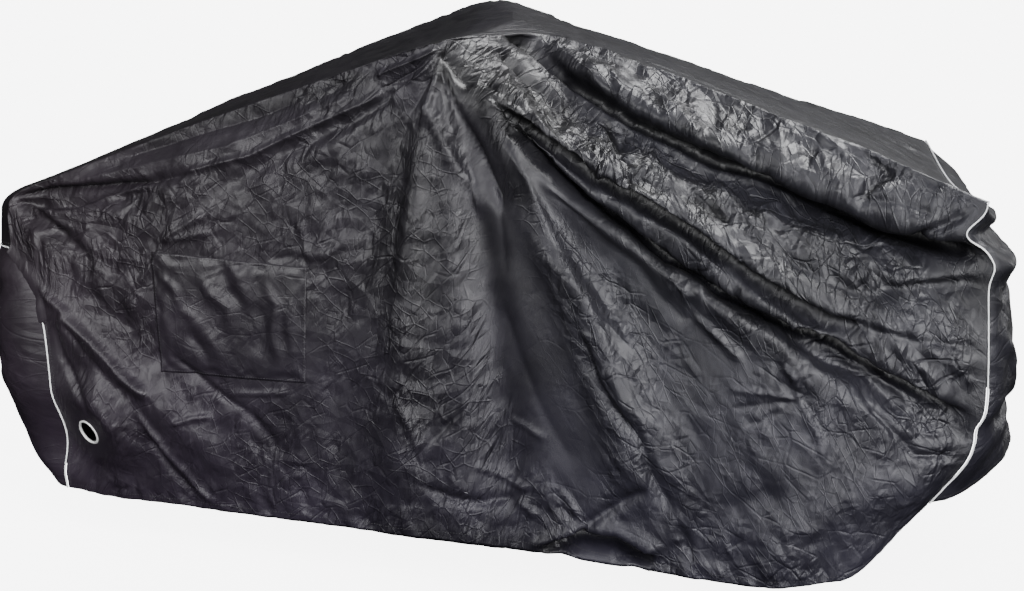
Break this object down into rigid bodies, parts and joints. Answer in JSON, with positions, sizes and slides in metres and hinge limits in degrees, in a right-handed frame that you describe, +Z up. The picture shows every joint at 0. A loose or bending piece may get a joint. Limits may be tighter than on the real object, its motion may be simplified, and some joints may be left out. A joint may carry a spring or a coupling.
{
  "type": "cargo bicycle cover",
  "caption": "Fitted cloth cover for a three-wheel cargo bicycle, hanging open at the bottom from the handlebar, with piped end panels, a sewn side patch and a lock eyelet.",
  "frame": {"origin": "under the cloth at the middle of the handlebar, the point that carries the cover", "axes": "+X forward along the bicycle, towards the cargo box; +Z up; -Y towards the side with the patch and the lock eyelet"},
  "size_m": [2.3029, 1.051, 1.1208],
  "materials": {
    "cover_cloth": "semi-gloss coated polyester, crumpled",
    "patch_cloth": "semi-gloss coated polyester, smoother",
    "reflective_piping": "reflective silver-white",
    "eyelet_metal": "satin"
  },
  "bodies": {
    "root": {"near_side": "cover_cloth", "roof": "cover_cloth", "far_side": "cover_cloth", "lock_strip": "cover_cloth", "rear_panel": "cover_cloth", "front_panel": "cover_cloth", "rear_piping": "reflective_piping", "front_piping": "reflective_piping", "side_patch": "patch_cloth", "lock_eyelet": "eyelet_metal"}
  },
  "joints": []
}
